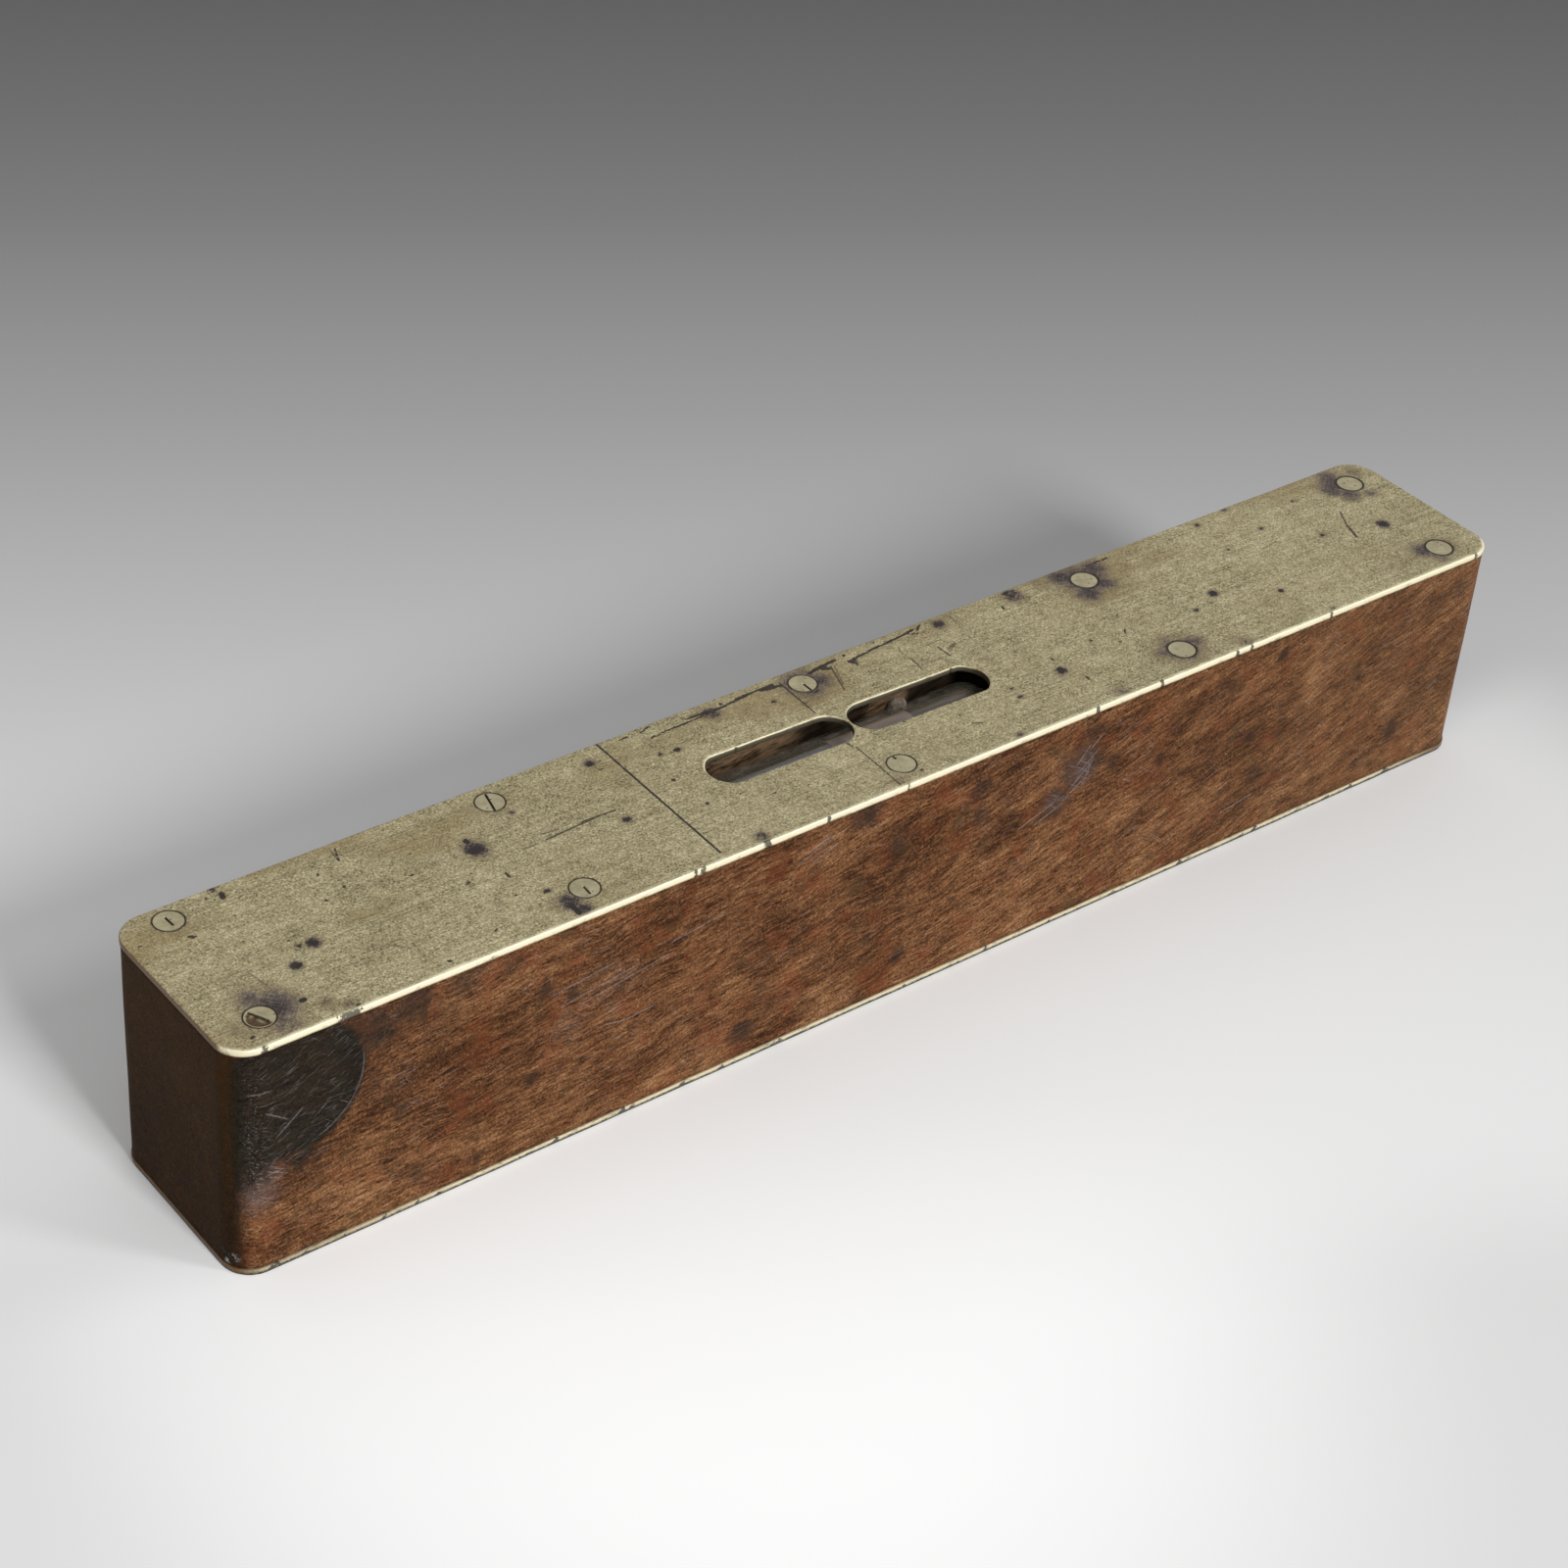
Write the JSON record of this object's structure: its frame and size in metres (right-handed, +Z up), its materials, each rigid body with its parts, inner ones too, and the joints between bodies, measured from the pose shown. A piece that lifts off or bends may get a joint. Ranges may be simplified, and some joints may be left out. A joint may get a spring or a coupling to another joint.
{
  "type": "bench spirit level",
  "caption": "Brass-plated hardwood spirit level: a long square-edged block with a glass bubble vial seen through twin slots in the top plate.",
  "frame": {"origin": "middle of the sole face, which the level stands on", "axes": "+X along the level towards the end whose screw slots are filed away, +Y across to the back long side, +Z up through the sight window"},
  "size_m": [0.305, 0.0422, 0.0508],
  "materials": {
    "hardwood": "worn polish",
    "plate_brass": "aged, brushed and stained",
    "screw_brass": "filed flush",
    "vial_glass": "clear, slightly dusty",
    "spirit": "clear liquid gone yellowish",
    "bubble": "clear",
    "plaster": "rough set plaster, dirty"
  },
  "bodies": {
    "level": {"stock": "hardwood", "top_plate_left": "plate_brass", "top_plate_middle": "plate_brass", "top_plate_right": "plate_brass", "sole_plate": "plate_brass", "vial_glass": "vial_glass", "spirit": "spirit", "plaster_bed": "plaster", "top_screw_1": "screw_brass", "top_screw_2": "screw_brass", "top_screw_3": "screw_brass", "top_screw_4": "screw_brass", "top_screw_5": "screw_brass", "top_screw_6": "screw_brass", "top_screw_7": "screw_brass", "top_screw_8": "screw_brass", "top_screw_9": "screw_brass", "top_screw_10": "screw_brass", "sole_screw_1": "screw_brass", "sole_screw_2": "screw_brass", "sole_screw_3": "screw_brass", "sole_screw_4": "screw_brass", "sole_screw_5": "screw_brass", "sole_screw_6": "screw_brass", "sole_screw_7": "screw_brass", "sole_screw_8": "screw_brass", "sole_screw_9": "screw_brass", "sole_screw_10": "screw_brass"},
    "bubble": {"bubble": "bubble"}
  },
  "joints": [
    {"name": "bubble_travel", "type": "slide", "parent": "level", "child": "bubble", "axis": [1, 0, 0], "range_m": [-0.0219, 0.0111], "stiffness_N_per_m": 0.05, "deforming": ["spirit"]}
  ]
}
